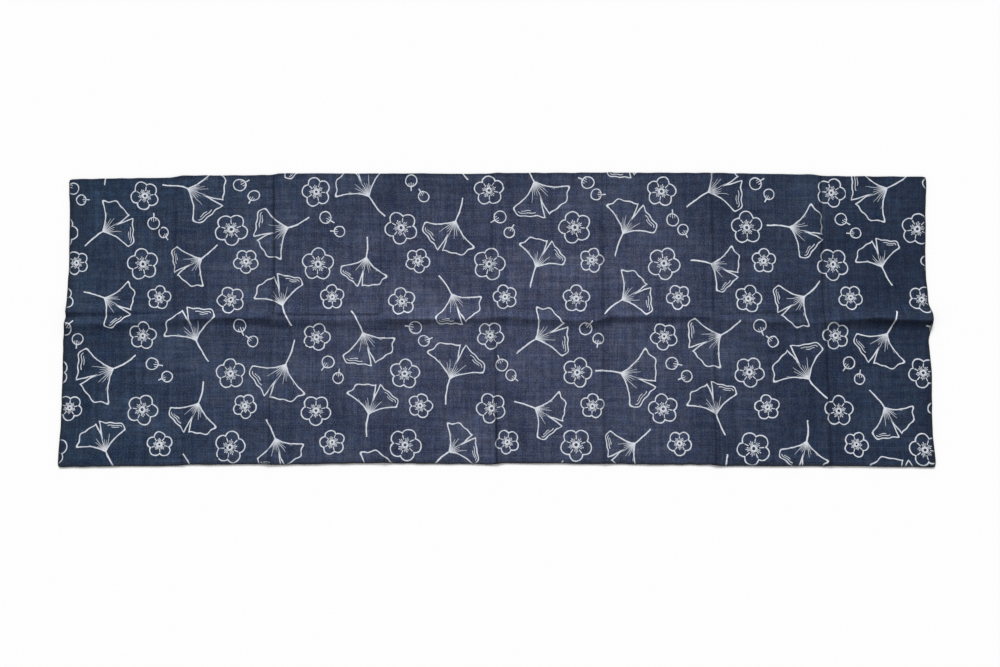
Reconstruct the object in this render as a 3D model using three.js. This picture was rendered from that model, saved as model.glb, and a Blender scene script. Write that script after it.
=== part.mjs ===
// Tenugui towel: one length of thin dyed cotton, opened out and laid flat,
// with the creases of its folding still standing in it.
// Millimetres. +X runs along the length, +Y across the width to the far edge, +Z is up.
import * as THREE from 'three';
import { mergeVertices } from 'three/addons/utils/BufferGeometryUtils.js';

// Driving dimensions
const LENGTH = 1000;
const WIDTH = 335;
const THICKNESS = 1;

// Softness of the creases, as distances to either side of the crease line
const CREST_NEAR_REACH = 12;
const CREST_FAR_REACH = 20;
const TWIN_REACH = 9;
const CROSSING_DIP = 0.35;
const CROSSING_REACH = 16;
const PANEL_STEP = 9;
const CREST_STEP = 22;

// Share of the width, from the near edge at 0 to the far edge at 1
const MID_WIDTH = 0.5;

// Turns rows of values into records with named columns.
function table(columns, rows) {
  return rows.map((row) => Object.fromEntries(columns.map((column, place) => [column, row[place]])));
}

// The eight panels between the crosswise folds, a row for each from the left end to the right.
// far and near: how far the long edges stand out past the plain width at the start and end of the panel.
// crest and rise: place across the width and height of the lengthwise crease.
// twin and twinRise: place and height of a second, lower crest beside it.
const PANELS = table(
  ['farStart', 'farEnd', 'nearStart', 'nearEnd', 'crest', 'rise', 'twin', 'twinRise'],
  [
    [-4.5, -2.5, 3.0, 1.5, -6.0, 3.5, 7.5, 1.5],
    [0.0, 0.5, 0.5, -0.5, 0.0, 4.0, 9.0, 0.0],
    [2.5, 2.5, 0.5, -1.5, -2.5, 3.0, 5.5, 2.5],
    [2.5, 2.0, -1.5, 0.0, -0.5, 4.0, 9.0, 0.0],
    [3.0, 3.5, -1.5, -0.5, -1.0, 3.0, 13.0, 0.5],
    [3.5, 3.0, -0.5, 0.5, 2.0, 3.0, 10.0, 0.0],
    [3.0, 1.0, 2.0, 2.0, -4.0, 2.5, 9.0, 1.5],
    [-0.5, -1.5, 1.5, 3.5, -0.5, 5.5, 12.0, 0.0],
  ],
);

// The seven crosswise folds between the panels, a row for each.
// farX and nearX: where the crease meets the far and the near edge.
// trough: height of the two soft shoulders beside the crease in the far half, where it dips.
// ridge: height of the crease in the near half, where it stands up. reach: half its soft width.
const CROSS_FOLDS = table(
  ['farX', 'nearX', 'trough', 'ridge', 'reach'],
  [
    [-374, -360, 1.5, 1.2, 13],
    [-261, -261, 2.0, 1.5, 12],
    [-137, -128, 1.0, 1.4, 13],
    [-7, -1, 1.8, 2.4, 12],
    [123, 121, 1.7, 1.8, 14],
    [251, 249, 1.8, 1.8, 13],
    [376, 380, 1.5, 1.9, 13],
  ],
);

// The two short ends, a row for each place across the width from the near edge to the far edge.
// left and right: how far each end stands out past the plain length there.
const ENDS = table(
  ['y', 'left', 'right'],
  [
    [-170, 2.0, 0.0],
    [-120, 0.0, -2.5],
    [-60, 0.0, -1.0],
    [-25, 0.5, -3.0],
    [-5, -1.0, 1.0],
    [5, -2.0, 2.0],
    [20, -2.0, -2.0],
    [60, -3.0, -4.0],
    [120, -2.0, -2.0],
    [165, 0.0, 0.5],
  ],
);

// Where the sheet has a row of corners, as distances from a crosswise crease and from the lengthwise crest
const ALONG_OFFSETS = [0, 4, 9, 16];
const NEAR_OFFSETS = [120, 70, 36, 18, 13, 9, 5, 2];
const FAR_OFFSETS = [2, 5, 9, 13, 17, 22, 30, 45, 75, 120];

const COTTON = new THREE.MeshStandardMaterial({ color: 0x343c4f, roughness: 0.9, metalness: 0 });

// Eases from 0 to 1 as the share goes from 0 to 1.
function ease(share) {
  return THREE.MathUtils.smoothstep(share, 0, 1);
}

// A soft hump of height 1 that ends at the reach on either side.
function hump(distance, reach) {
  const turn = Math.min(Math.abs(distance) / reach, 1);
  return (1 + Math.cos(Math.PI * turn)) / 2;
}

// Place of one crosswise crease at a share of the width, 0 at the near edge and 1 at the far edge.
function creaseX(fold, acrossShare) {
  return THREE.MathUtils.lerp(fold.nearX, fold.farX, acrossShare);
}

// A value that belongs to each panel, carried from panel to panel by a soft step at each crosswise crease.
function alongPanels(x, acrossShare, softness, valueIn) {
  let value = valueIn(PANELS[0], 0);
  CROSS_FOLDS.forEach((fold, index) => {
    const step = ease((x - creaseX(fold, acrossShare) + softness) / (2 * softness));
    value += step * (valueIn(PANELS[index + 1], index + 1) - valueIn(PANELS[index], index));
  });
  return value;
}

// Share of the way along one panel, which runs a little past 0 and 1 beyond its creases.
function panelShare(x, index, acrossShare) {
  const start = index === 0 ? -LENGTH / 2 : creaseX(CROSS_FOLDS[index - 1], acrossShare);
  const end = index === CROSS_FOLDS.length ? LENGTH / 2 : creaseX(CROSS_FOLDS[index], acrossShare);
  return (x - start) / (end - start);
}

// The far edge and the near edge, with a small step at each crosswise crease.
function farEdge(x) {
  const out = alongPanels(x, 1, PANEL_STEP, (panel, index) =>
    THREE.MathUtils.lerp(panel.farStart, panel.farEnd, panelShare(x, index, 1)));
  return WIDTH / 2 + out;
}

function nearEdge(x) {
  const out = alongPanels(x, 0, PANEL_STEP, (panel, index) =>
    THREE.MathUtils.lerp(panel.nearStart, panel.nearEnd, panelShare(x, index, 0)));
  return -WIDTH / 2 - out;
}

// How far one of the short ends stands out at a place across the width.
function endOut(y, side) {
  const last = ENDS[ENDS.length - 1];
  const place = THREE.MathUtils.clamp(y, ENDS[0].y, last.y);
  const upper = Math.max(1, ENDS.findIndex((row) => row.y >= place));
  const from = ENDS[upper - 1];
  const to = ENDS[upper];
  return THREE.MathUtils.lerp(from[side], to[side], ease((place - from.y) / (to.y - from.y)));
}

// Line of the lengthwise crest.
function crestY(x) {
  return alongPanels(x, MID_WIDTH, CREST_STEP, (panel) => panel.crest);
}

// Height of the underside: nothing on the flat panels, soft humps along the creases.
function liftAt(x, y) {
  const acrossShare = (y + WIDTH / 2) / WIDTH;
  const crest = crestY(x);
  const rise = alongPanels(x, MID_WIDTH, CREST_STEP, (panel) => panel.rise);
  const twin = alongPanels(x, MID_WIDTH, CREST_STEP, (panel) => panel.twin);
  const twinRise = alongPanels(x, MID_WIDTH, CREST_STEP, (panel) => panel.twinRise);
  const farHalf = ease((y - crest + CREST_NEAR_REACH) / (2 * CREST_NEAR_REACH));
  let crossing = 0;
  let lift = 0;
  CROSS_FOLDS.forEach((fold) => {
    const distance = x - creaseX(fold, acrossShare);
    crossing += hump(distance, CROSSING_REACH);
    lift += farHalf * fold.trough * hump(Math.abs(distance) - fold.reach / 2, fold.reach / 2);
    lift += (1 - farHalf) * fold.ridge * hump(distance, fold.reach);
  });
  const along = 1 - CROSSING_DIP * crossing;
  const crestReach = y < crest ? CREST_NEAR_REACH : CREST_FAR_REACH;
  const main = rise * hump(y - crest, crestReach);
  const second = twinRise * hump(y - twin, TWIN_REACH);
  return lift + along * Math.max(main, second);
}

// Rows of corners along the length: close together at each crosswise crease, one in the middle of each panel.
function stationsAlong() {
  const stations = [];
  PANELS.forEach((panel, index) => {
    const hasStart = index > 0;
    const hasEnd = index < CROSS_FOLDS.length;
    const startOffsets = hasStart ? ALONG_OFFSETS : [0];
    const endOffsets = hasEnd ? ALONG_OFFSETS.slice(1).reverse() : [];
    startOffsets.forEach((offset) => stations.push({ index, fromStart: offset }));
    stations.push({ index, middle: true });
    endOffsets.forEach((offset) => stations.push({ index, fromEnd: offset }));
  });
  stations.push({ index: CROSS_FOLDS.length, fromEnd: 0 });
  return stations;
}

// Place along the length of one row of corners, at a share of the width.
// The rows follow the slant of the creases.
function stationX(station, acrossShare, y) {
  const { index } = station;
  const isFirst = index === 0;
  const isLast = index === CROSS_FOLDS.length;
  const start = isFirst ? -LENGTH / 2 - endOut(y, 'left') : creaseX(CROSS_FOLDS[index - 1], acrossShare);
  const end = isLast ? LENGTH / 2 + endOut(y, 'right') : creaseX(CROSS_FOLDS[index], acrossShare);
  if (station.middle) {
    return (start + end) / 2;
  }
  return station.fromStart === undefined ? end - station.fromEnd : start + station.fromStart;
}

// Place across the width of one row of corners: the edges, and rows at set distances from the crest.
function stationY(row, x) {
  const crest = crestY(x);
  if (row === 0) {
    return nearEdge(x);
  }
  if (row <= NEAR_OFFSETS.length) {
    return crest - NEAR_OFFSETS[row - 1];
  }
  const beyond = row - NEAR_OFFSETS.length - 1;
  if (beyond === 0) {
    return crest;
  }
  return beyond <= FAR_OFFSETS.length ? crest + FAR_OFFSETS[beyond - 1] : farEdge(x);
}

// The cloth: a thin flat slab with a grid of corners, each moved to its place on the creased sheet.
function makeTowel() {
  const along = stationsAlong();
  const columns = along.length - 1;
  const rows = NEAR_OFFSETS.length + FAR_OFFSETS.length + 2;
  const slab = new THREE.BoxGeometry(columns, rows, THICKNESS, columns, rows, 1);
  slab.deleteAttribute('normal');
  slab.deleteAttribute('uv');
  const sheet = mergeVertices(slab);
  const corners = sheet.attributes.position;
  for (let corner = 0; corner < corners.count; corner += 1) {
    const column = Math.round(corners.getX(corner) + columns / 2);
    const row = Math.round(corners.getY(corner) + rows / 2);
    const isTop = corners.getZ(corner) > 0;
    const roughX = stationX(along[column], MID_WIDTH, 0);
    const roughY = stationY(row, roughX);
    const x = stationX(along[column], (roughY + WIDTH / 2) / WIDTH, roughY);
    const y = stationY(row, x);
    corners.setXYZ(corner, x, y, liftAt(x, y) + (isTop ? THICKNESS : 0));
  }
  sheet.computeVertexNormals();
  const towel = new THREE.Mesh(sheet, COTTON);
  towel.name = 'towel';
  return towel;
}

const tenugui = new THREE.Group();
tenugui.add(makeTowel());

export default tenugui;
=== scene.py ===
# %% [markdown]
# # A tenugui towel, opened out
# A tenugui is a length of thin plain-woven cotton, dyed right through. This one is indigo with
# white line motifs. It was kept folded, so it lies flat with a soft crease along its length and
# seven across. This lesson models the sheet, its folds, its dye and its weave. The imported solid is
# loaded first, because the cloth has to lie where the solid lies.

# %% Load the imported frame
import math

import bpy
import numpy as np
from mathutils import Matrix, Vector


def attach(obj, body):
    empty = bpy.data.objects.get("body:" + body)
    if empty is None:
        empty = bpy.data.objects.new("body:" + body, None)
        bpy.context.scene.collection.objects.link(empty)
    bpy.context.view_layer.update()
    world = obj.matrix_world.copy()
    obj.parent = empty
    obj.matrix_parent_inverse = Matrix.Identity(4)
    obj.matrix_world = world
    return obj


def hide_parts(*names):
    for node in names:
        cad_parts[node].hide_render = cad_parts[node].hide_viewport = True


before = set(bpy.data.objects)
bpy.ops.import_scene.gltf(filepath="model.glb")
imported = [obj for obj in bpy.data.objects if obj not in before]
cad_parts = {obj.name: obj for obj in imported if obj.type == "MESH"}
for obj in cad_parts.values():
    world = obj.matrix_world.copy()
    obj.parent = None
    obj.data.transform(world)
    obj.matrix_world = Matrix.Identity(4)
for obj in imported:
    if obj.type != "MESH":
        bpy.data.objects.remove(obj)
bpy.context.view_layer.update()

# %% [markdown]
# ## Sizes
# All sizes are in millimetres, and become metres when the sheet is laid. X runs along the cloth, Y
# across it to the far edge, and Z is up. The tables repeat the outline and the crosswise folds of the
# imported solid, so that the sheet lies on its folds. A panel's row says how far its long edges stand
# out past the plain width where it starts and ends, a fold's row where it meets the edges and how
# high and wide it is, and an end's row how far the short ends stand out at one place across.

# %% Sizes of the cloth
MM = 0.001
LENGTH = 1000.0
WIDTH = 335.0
CLOTH_THICKNESS = 0.5
HEM_THICKNESS = 0.9
HEM_WIDTH = 3.5
CORNER_PULL = 0.9
CORNER_REACH = 4.5


def named_columns(names, rows):
    """A small table, as one array for each named column."""
    return dict(zip(names.split(), np.array(rows, dtype=float).T))


PANELS = named_columns(
    "far_start far_end near_start near_end",
    [
        (-4.5, -2.5, 3.0, 1.5),
        (0.0, 0.5, 0.5, -0.5),
        (2.5, 2.5, 0.5, -1.5),
        (2.5, 2.0, -1.5, 0.0),
        (3.0, 3.5, -1.5, -0.5),
        (3.5, 3.0, -0.5, 0.5),
        (3.0, 1.0, 2.0, 2.0),
        (-0.5, -1.5, 1.5, 3.5),
    ],
)
CROSS_FOLDS = named_columns(
    "far_x near_x trough ridge reach",
    [
        (-374, -360, 1.5, 1.2, 13),
        (-261, -261, 2.0, 1.5, 12),
        (-137, -128, 1.0, 1.4, 13),
        (-7, -1, 1.8, 2.4, 12),
        (123, 121, 1.7, 1.8, 14),
        (251, 249, 1.8, 1.8, 13),
        (376, 380, 1.5, 1.9, 13),
    ],
)
ENDS = named_columns(
    "y left right",
    [
        (-170, 2.0, 0.0),
        (-120, 0.0, -2.5),
        (-60, 0.0, -1.0),
        (-25, 0.5, -3.0),
        (-5, -1.0, 1.0),
        (5, -2.0, 2.0),
        (20, -2.0, -2.0),
        (60, -3.0, -4.0),
        (120, -2.0, -2.0),
        (165, 0.0, 0.5),
    ],
)
FOLD_COUNT = len(CROSS_FOLDS["far_x"])
print("panels:", len(PANELS["far_start"]), "crosswise folds:", FOLD_COUNT)

# %% [markdown]
# ## Creases placed one by one
# No crease of a real cloth is even. The lengthwise crest wanders, swells and fades along its run,
# and a second, thinner crest comes and goes beside it, so each panel has its own row. Each crosswise
# crease runs straight through each half of the width and jogs a little where it meets the crest. The
# last column of the lengthwise table and the last four of the crosswise one give painted shade: how
# dark a band of shade is painted along each crease, from 0 to 1. A cloth simulation would put
# creases where it likes, and a short table keeps them where the real ones lie.

# %% Listed creases
LONG_CREASE = named_columns(
    "y_start y_mid y_end rise_start rise_mid rise_end near_reach twin_y twin_start twin_end press",
    [
        (-7.0, -6.0, -3.0, 3.5, 4.0, 3.0, 14, 7.5, 2.5, 0.5, 0.0),
        (-1.0, 0.0, 1.0, 3.5, 3.5, 4.0, 8, 9.0, 0.0, 0.0, 0.0),
        (-1.0, -2.5, -3.0, 3.5, 3.5, 2.5, 14, 5.5, 2.5, 2.0, 0.0),
        (-1.5, -1.0, 0.5, 4.0, 4.5, 3.0, 11, 9.0, 0.0, 0.0, 0.2),
        (2.0, -1.0, -4.0, 3.5, 2.5, 4.0, 9, 13.0, 1.0, 0.0, 0.0),
        (2.0, 2.5, 1.5, 4.0, 2.5, 2.5, 8, 9.0, 0.0, 0.0, 0.0),
        (-1.5, -4.0, -5.0, 1.0, 3.0, 1.0, 11, 8.5, 1.5, 1.0, 0.0),
        (-2.5, 0.0, -2.0, 3.5, 6.0, 5.5, 12, 12.0, 0.0, 0.0, 0.4),
    ],
)
CROSS_CREASES = named_columns(
    "near_x near_crest_x far_crest_x far_x near_press near_crest_press far_crest_press far_press",
    [
        (-360, -360, -374, -374, 0.3, 0.2, 0.5, 0.3),
        (-262, -260, -258, -261, 0.6, 0.4, 0.6, 0.9),
        (-129, -127, -134, -138, 0.3, 0.2, 0.3, 0.2),
        (-1, -3, -7, -6, 1.0, 0.7, 0.3, 0.5),
        (122, 121, 122, 122, 0.5, 0.4, 0.5, 0.3),
        (249, 249, 249, 250, 0.6, 0.4, 0.5, 0.5),
        (380, 378, 376, 377, 0.7, 0.8, 0.5, 0.8),
    ],
)
JOG_NEAR, JOG_FAR = -20.0, 14.0
CREASE_STATIONS = {"near": -WIDTH / 2, "near_crest": JOG_NEAR, "far_crest": JOG_FAR, "far": WIDTH / 2}
print("panels of the long crease:", len(LONG_CREASE["press"]), "crosswise:", len(CROSS_CREASES["far_x"]))

# %% [markdown]
# ## Where the outline and the creases run
# Each panel between two creases lies a little differently, so the long edges step gently from panel
# to panel. The steps could be pulled out by hand on the mesh, point by point. Here one helper carries
# a value of the panel table along the cloth with a soft step at each crease, and others read the
# crease tables, so that edges, folds and dye all agree.

# %% Outline and crease lines
PANEL_STEP = 9.0
PANEL_INSET = 9.0
MID_WIDTH = 0.5


def ease(share):
    """0 below 0, 1 above 1, and a smooth S between."""
    share = np.clip(share, 0.0, 1.0)
    return share * share * (3.0 - 2.0 * share)


def crease_x(fold, share):
    """Place of one crosswise crease at a share of the width, 0 near and 1 far."""
    return CROSS_FOLDS["near_x"][fold] + share * (CROSS_FOLDS["far_x"][fold] - CROSS_FOLDS["near_x"][fold])


def along_panels(x, share, softness, value_in):
    """A panel's value, carried from panel to panel by a soft step at each crease."""
    value = value_in(0) + 0.0 * x
    for fold in range(FOLD_COUNT):
        step = ease((x - crease_x(fold, share) + softness) / (2 * softness))
        value = value + step * (value_in(fold + 1) - value_in(fold))
    return value


def edge_out(x, share, side):
    """How far the far or the near edge stands out past the plain width."""
    stops = [-LENGTH / 2] + [crease_x(fold, share) for fold in range(FOLD_COUNT)] + [LENGTH / 2]

    def in_panel(panel):
        start, end = PANELS[side + "_start"][panel], PANELS[side + "_end"][panel]
        return start + (end - start) * (x - stops[panel]) / (stops[panel + 1] - stops[panel])

    return along_panels(x, share, PANEL_STEP, in_panel)


mid_creases = [crease_x(fold, MID_WIDTH) for fold in range(FOLD_COUNT)]
PANEL_ENDS = np.array([-LENGTH / 2] + mid_creases + [LENGTH / 2])


def along_crest(x, *names):
    """A value of the long crease, from its columns for the start to the end of each panel."""
    starts = PANEL_ENDS[:-1] + PANEL_INSET
    runs = np.diff(PANEL_ENDS) - 2 * PANEL_INSET
    stations = starts[:, None] + runs[:, None] * np.linspace(0.0, 1.0, len(names))
    values = np.stack([LONG_CREASE[name] for name in names], axis=1)
    return np.interp(x, stations.ravel(), values.ravel())


def along_fold(y, fold, quantity):
    """Place or painted shade of one crosswise crease, from its stations across the width."""
    values = [CROSS_CREASES[f"{name}_{quantity}"][fold] for name in CREASE_STATIONS]
    return np.interp(y, list(CREASE_STATIONS.values()), values)


def end_out(y, side):
    """How far one short end stands out at a place across the width."""
    row = np.clip(np.searchsorted(ENDS["y"], y), 1, len(ENDS["y"]) - 1)
    start, end = ENDS["y"][row - 1], ENDS["y"][row]
    share = ease((y - start) / (end - start))
    return ENDS[side][row - 1] + share * (ENDS[side][row] - ENDS[side][row - 1])


print("panels end at mid width at x =", PANEL_ENDS.tolist(), "mm")

# %% [markdown]
# ## A grid that is fine where the cloth bends
# Most of the cloth is flat, and nearly all its bending is in a few narrow creases. A plain grid would
# waste its faces on the flat panels. The rows of this one crowd together at the creases, the hems and
# the crest, where the cloth turns within a few millimetres.

# %% Rows of the grid
COLUMNS = 404
ROWS = 116
FINE_STEPS = 8001
CREASE_CROWDING = (9.0, 5.0)
END_CROWDING = (3.0, 5.0)
SIDE_CROWDING = (3.0, 4.0)
CREST_SPOTS = [(-4.0, 9.0, 3.5), (7.0, 7.0, 2.5)]


def crowded_rows(start, end, count, spots):
    """count + 1 places from start to end, closer together near each (place, reach, extra) spot."""
    fine = np.linspace(start, end, FINE_STEPS)
    density = np.ones(FINE_STEPS)
    for place, reach, extra in spots:
        density += extra * np.exp(-(((fine - place) / reach) ** 2))
    run = np.concatenate(([0.0], np.cumsum((density[1:] + density[:-1]) / 2)))
    return np.interp(np.linspace(0.0, run[-1], count + 1), run, fine)


crease_spots = [(place, *CREASE_CROWDING) for place in mid_creases]
end_spots = [(end, *END_CROWDING) for end in (-LENGTH / 2, LENGTH / 2)]
along = crowded_rows(-LENGTH / 2, LENGTH / 2, COLUMNS, crease_spots + end_spots)
side_spots = [(side, *SIDE_CROWDING) for side in (-WIDTH / 2, WIDTH / 2)]
across = crowded_rows(-WIDTH / 2, WIDTH / 2, ROWS, CREST_SPOTS + side_spots)
print("grid steps along:", np.diff(along).min().round(2), "to", np.diff(along).max().round(2), "mm")
print("grid steps across:", np.diff(across).min().round(2), "to", np.diff(across).max().round(2), "mm")

# %% [markdown]
# ## The shape of the folds
# A crease that stands up leaves the table gently and is steepest at its crest, like a low tent. A
# crease that dips has two soft shoulders and a sharp line between them. The cloth was folded along
# its length first, so each crosswise crease dips in the far half and stands up in the near half.
# Creases could be sculpted with a brush. A formula for each profile can be checked, and it gives
# the same shape every time.

# %% Profiles of a crease
CREST_ROUND = 1.0
TENT_POWER = 1.5
DIP_TO_ONE = 27 / 4
NOISE_CELLS = 64
NOISE_SHIFT = 200.0
PATCHES = {
    "crest wander": (17.0, 50.0, 3),
    "crest swell": (19.0, 50.0, 4),
    "fold bow": (50.0, 30.0, 5),
    "fold strength": (50.0, 40.0, 6),
    "twin wander": (15.0, 50.0, 7),
    "swell": (62.0, 48.0, 11),
    "small swell": (21.0, 26.0, 12),
    "pucker": (6.5, 17.0, 13),
    "ripple": (17.0, 19.0, 14),
    "far edge": (11.0, 50.0, 21),
    "near edge": (11.0, 50.0, 22),
    "short ends": (9.0, 50.0, 23),
}


def tent(distance, reach):
    """A low tent of height 1: steep at the crest, tangent to the table at its foot."""
    blunt = np.sqrt(distance**2 + CREST_ROUND**2) - CREST_ROUND
    return np.clip(1.0 - blunt / reach, 0.0, 1.0) ** TENT_POWER


def dip(distance, reach):
    """Two shoulders of height 1 with a sharp line between them."""
    share = np.clip(np.abs(distance) / reach, 0.0, 1.0)
    return DIP_TO_ONE * share * (1.0 - share) ** 2


def soft_noise(x, y, name):
    """Smooth uneven values from -1 to 1, in patches of a named size along and across, with its seed."""
    size_x, size_y, seed = PATCHES[name]
    table = np.random.default_rng(seed).uniform(-1.0, 1.0, (NOISE_CELLS, NOISE_CELLS))
    u, v = x / size_x + NOISE_SHIFT, y / size_y + NOISE_SHIFT
    i, j = np.floor(u).astype(int), np.floor(v).astype(int)
    a, b = ease(u - i), ease(v - j)
    left, right = i % NOISE_CELLS, (i + 1) % NOISE_CELLS
    below, above = j % NOISE_CELLS, (j + 1) % NOISE_CELLS
    low = table[left, below] * (1 - a) + table[right, below] * a
    high = table[left, above] * (1 - a) + table[right, above] * a
    return low * (1 - b) + high * b


print("a tent and a dip, 3 mm from the line:", tent(3.0, 12.0).round(2), dip(3.0, 12.0).round(2))

# %% Heights of the folds
CREST_FAR_REACH = 14.5
CREST_WANDER = 0.6
CREST_SWELL = 0.12
TWIN_CLAIM = 2.4
TWIN_NEAR_REACH = 6.5
TWIN_FAR_REACH = 15.0
TWIN_WANDER = 0.4
HALF_STEP = 10.0
FOLD_BOW, BOW_SHIFT = 0.4, 90.0
FOLD_STRENGTH, STRENGTH_SPREAD, STRENGTH_SHIFT = 0.9, 0.25, 70.0
DIP_SPREAD = 1.4
PINCH_REACH = 3.2
PINCH_RISE = 0.45
# Painted shade: the width of its line along each crosswise crease, then where and how wide its band below
# the crest is.
CREASE_SHADE_REACH = 1.5
CREST_SHADE_DOWN = 4.0
CREST_SHADE_REACH = 3.5
EDGE_FLATTENS = 0.7
EDGE_FLAT_REACH = 7.0


def crest_y(x):
    """Place of the lengthwise crest across the cloth."""
    return along_crest(x, "y_start", "y_mid", "y_end") + CREST_WANDER * soft_noise(x, 0 * x, "crest wander")


def crosswise_lift(x, y, far_half):
    """Height of the crosswise creases, and how much painted shade darkens each place."""
    lift, painted_crease_shade = 0.0 * x, 0.0 * x
    for fold in range(FOLD_COUNT):
        bow = FOLD_BOW * soft_noise(0 * x + BOW_SHIFT * fold, y, "fold bow")
        gap = x - along_fold(y, fold, "x") - bow
        reach = CROSS_FOLDS["reach"][fold]
        varied = STRENGTH_SPREAD * soft_noise(0 * x + STRENGTH_SHIFT * fold, y, "fold strength")
        strength = FOLD_STRENGTH + varied
        lift += far_half * strength * CROSS_FOLDS["trough"][fold] * dip(gap, reach * DIP_SPREAD)
        standing = CROSS_FOLDS["ridge"][fold] * tent(gap, reach) + PINCH_RISE * tent(gap, PINCH_REACH)
        lift += (1.0 - far_half) * strength * standing
        # Painted shade: a dark line along the crease, where the fold keeps the light out.
        press = along_fold(y, fold, "press")
        painted_crease_shade += press * strength * np.exp(-((gap / CREASE_SHADE_REACH) ** 2))
    return lift, painted_crease_shade


def lengthwise_lift(x, y, crest):
    """Height of the lengthwise crest and of the thinner one beside it."""
    uneven = 1.0 + CREST_SWELL * soft_noise(x, 0 * y, "crest swell")
    twin_rise = along_crest(x, "twin_start", "twin_end")
    far_reach = CREST_FAR_REACH - TWIN_CLAIM * twin_rise
    reach = np.where(y < crest, along_crest(x, "near_reach", "near_reach"), far_reach)
    main = along_crest(x, "rise_start", "rise_mid", "rise_end") * tent(y - crest, reach)
    twin = along_crest(x, "twin_y", "twin_y") + TWIN_WANDER * soft_noise(x, 0 * x, "twin wander")
    reach = np.where(y < twin, TWIN_NEAR_REACH, TWIN_FAR_REACH)
    return uneven * np.maximum(main, twin_rise * tent(y - twin, reach))


def fold_lift(x, y):
    """Height of the underside over the table, and how much painted shade darkens each place."""
    crest = crest_y(x)
    far_half = ease((y - crest + HALF_STEP) / (2 * HALF_STEP))
    lift, painted_crease_shade = crosswise_lift(x, y, far_half)
    from_long_edge = np.maximum(WIDTH / 2 - np.abs(y), 0.0)
    lift *= 1.0 - EDGE_FLATTENS * np.exp(-from_long_edge / EDGE_FLAT_REACH)
    # Painted shade along the foot of the crest's near slope, which faces away from the sun.
    below_crest = np.exp(-(((y - crest + CREST_SHADE_DOWN) / CREST_SHADE_REACH) ** 2))
    painted_crease_shade += below_crest * along_crest(x, "press", "press")
    return lift + lengthwise_lift(x, y, crest), np.clip(painted_crease_shade, 0.0, 1.0)


print("the crest runs from y =", crest_y(along).min().round(1), "to", crest_y(along).max().round(1), "mm")

# %% [markdown]
# ## Small unevenness
# Even pressed cotton never lies dead flat. Low swells cross the panels, short puckers run off the
# lengthwise crest, and the selvedges ripple a little. A Displace modifier could lift the finished
# mesh, but it would not know where the crest and the edges are. All of it only lifts the cloth, so
# that the sheet still rests on the table.

# %% Swells, puckers and rippled edges
SWELL = 0.45
SMALL_SWELL_SHARE = 0.3
PUCKER = 0.35
PUCKER_SPREAD = 17.0
RIPPLE = 0.3
RIPPLE_REACH = 9.0


def upward_noise(x, y, name):
    """The named soft noise, carried from -1 to 1 to the range 0 to 1."""
    return 0.5 + 0.5 * soft_noise(x, y, name)


def small_lift(x, y, from_edge):
    """Extra height of swells, puckers near the crest, and ripples near the edges."""
    swell = SWELL * upward_noise(x, y, "swell") ** 2
    swell += SMALL_SWELL_SHARE * SWELL * upward_noise(x, y, "small swell")
    near_crest = np.exp(-(((y - crest_y(x)) / PUCKER_SPREAD) ** 2))
    pucker = PUCKER * near_crest * upward_noise(x, y, "pucker")
    near_edge = np.exp(-from_edge / RIPPLE_REACH)
    ripple = RIPPLE * near_edge * upward_noise(x, y, "ripple")
    return swell + pucker + ripple


most_lift = SWELL * (1 + SMALL_SWELL_SHARE) + PUCKER + RIPPLE
print("small lifts: at most", round(most_lift, 2), "mm in all")

# %% [markdown]
# ## The sheet
# The cloth is one piece, so the sheet starts as one grid primitive. Each corner knows its place on
# the flat cloth, and the fold functions say where that place lies now. Bending a flat grid by hand
# would also do, but then no corner would know where on the cloth it is.

# %% Lay the grid on its folds
EDGE_WANDER = 0.35
END_WANDER, END_WANDER_POWER = 0.3, 8
bpy.ops.object.select_all(action="DESELECT")
bpy.ops.mesh.primitive_grid_add(x_subdivisions=COLUMNS, y_subdivisions=ROWS, size=2.0)
cloth = bpy.context.object
cloth.name = "towel_cloth"
mesh = cloth.data
flat_grid = np.empty(len(mesh.vertices) * 3)
mesh.vertices.foreach_get("co", flat_grid)
flat_grid = flat_grid.reshape(-1, 3)
column = np.rint((flat_grid[:, 0] + 1) / 2 * COLUMNS).astype(int)
row = np.rint((flat_grid[:, 1] + 1) / 2 * ROWS).astype(int)
flat_x, flat_y = along[column], across[row]
share = flat_y / WIDTH + MID_WIDTH

moved = np.array(
    [-LENGTH / 2 - end_out(flat_y, "left")]
    + [crease_x(fold, share) for fold in range(FOLD_COUNT)]
    + [LENGTH / 2 + end_out(flat_y, "right")]
)
panel = np.clip(np.searchsorted(PANEL_ENDS, flat_x) - 1, 0, FOLD_COUNT)
panel_share = (flat_x - PANEL_ENDS[panel]) / np.diff(PANEL_ENDS)[panel]
picks = np.arange(len(flat_x))
x = moved[panel, picks] * (1 - panel_share) + moved[panel + 1, picks] * panel_share

far_y = WIDTH / 2 + edge_out(x, 1.0, "far") + EDGE_WANDER * soft_noise(x, 0 * x, "far edge")
near_y = -WIDTH / 2 - edge_out(x, 0.0, "near") + EDGE_WANDER * soft_noise(x, 0 * x, "near edge")
half = np.abs(flat_y) / (WIDTH / 2)
y = half * np.where(flat_y > 0, far_y, near_y)
at_ends = (np.abs(flat_x) / (LENGTH / 2)) ** END_WANDER_POWER
x += END_WANDER * soft_noise(y, 0 * y, "short ends") * at_ends
from_end = LENGTH / 2 - np.abs(flat_x)
from_side = WIDTH / 2 - np.abs(flat_y)
corner = CORNER_PULL * ease(1.0 - from_end / CORNER_REACH) * ease(1.0 - from_side / CORNER_REACH)
x -= np.sign(flat_x) * corner
y -= np.sign(flat_y) * corner
print("outline:", x.min().round(1), x.max().round(1), y.min().round(1), y.max().round(1), "mm")

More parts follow.
